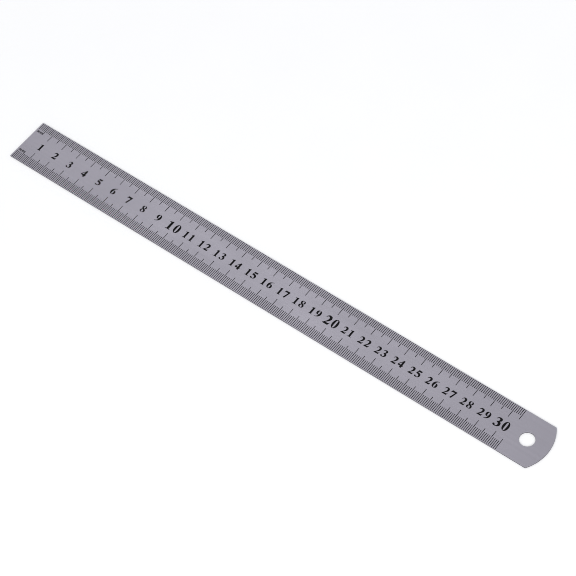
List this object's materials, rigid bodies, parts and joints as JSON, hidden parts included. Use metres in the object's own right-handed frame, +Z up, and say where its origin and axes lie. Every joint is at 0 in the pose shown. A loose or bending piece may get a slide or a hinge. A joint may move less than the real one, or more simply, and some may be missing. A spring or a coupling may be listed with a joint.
{
  "type": "steel ruler",
  "caption": "Flat stainless steel ruler with a square zero end, a rounded end with a hang hole, and etched, black-filled scales along both edges.",
  "frame": {"origin": "middle of the face of the square zero end, halfway through the sheet's thickness", "axes": "+X along the scale from the zero end to the rounded end, +Y across the blade to the far edge, which the tops of the numerals face, +Z up out of the etched face"},
  "size_m": [0.326, 0.026, 0.0008],
  "materials": {
    "stainless_steel": "satin, ground lengthwise",
    "black_enamel": "satin black enamel"
  },
  "bodies": {
    "root": {"blade": "stainless_steel", "far_centimetre_lines": "black_enamel", "far_half_centimetre_lines": "black_enamel", "far_millimetre_lines": "black_enamel", "near_centimetre_lines": "black_enamel", "near_half_centimetre_lines": "black_enamel", "near_millimetre_lines": "black_enamel", "numeral_01": "black_enamel", "numeral_02": "black_enamel", "numeral_03": "black_enamel", "numeral_04": "black_enamel", "numeral_05": "black_enamel", "numeral_06": "black_enamel", "numeral_07": "black_enamel", "numeral_08": "black_enamel", "numeral_09": "black_enamel", "numeral_10": "black_enamel", "numeral_11": "black_enamel", "numeral_12": "black_enamel", "numeral_13": "black_enamel", "numeral_14": "black_enamel", "numeral_15": "black_enamel", "numeral_16": "black_enamel", "numeral_17": "black_enamel", "numeral_18": "black_enamel", "numeral_19": "black_enamel", "numeral_20": "black_enamel", "numeral_21": "black_enamel", "numeral_22": "black_enamel", "numeral_23": "black_enamel", "numeral_24": "black_enamel", "numeral_25": "black_enamel", "numeral_26": "black_enamel", "numeral_27": "black_enamel", "numeral_28": "black_enamel", "numeral_29": "black_enamel", "numeral_30": "black_enamel", "far_unit_mark": "black_enamel", "near_unit_mark": "black_enamel"}
  },
  "joints": []
}
